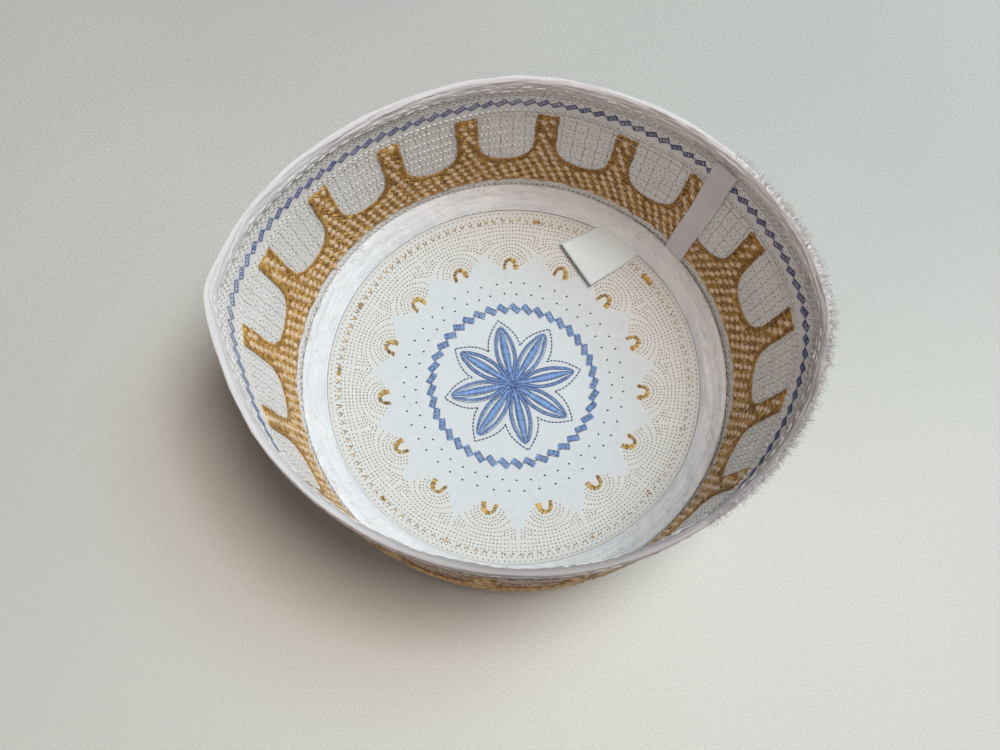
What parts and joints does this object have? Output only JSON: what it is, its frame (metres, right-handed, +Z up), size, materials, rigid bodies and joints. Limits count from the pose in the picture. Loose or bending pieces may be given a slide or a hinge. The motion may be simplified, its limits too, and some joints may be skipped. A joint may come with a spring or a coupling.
{
  "type": "prayer cap",
  "caption": "Round embroidered prayer cap with a domed crown, an upright band with a gold arcade and a folded hem, lying on its crown with the mouth up.",
  "frame": {"origin": "middle of the crown's outer face, where it touches the table", "axes": "+Z up through the mouth, +X along the mouth's longer way, to the right in the picture, +Y away from the viewer"},
  "size_m": [0.2012, 0.171, 0.0894],
  "materials": {
    "crown_top": "white cloth with blue and gold embroidery",
    "side_band": "white cloth with a gold embroidered arcade and a blue line",
    "crown_seam_roll": "soft white turned cloth",
    "rim_hem": "white folded cloth",
    "join_tape": "white woven tape",
    "size_label": "bare white satin"
  },
  "bodies": {
    "root": {"crown_top": "crown_top", "side_band": "side_band", "crown_seam_roll": "crown_seam_roll", "rim_hem": "rim_hem", "join_tape": "join_tape", "size_label": "size_label"}
  },
  "joints": []
}
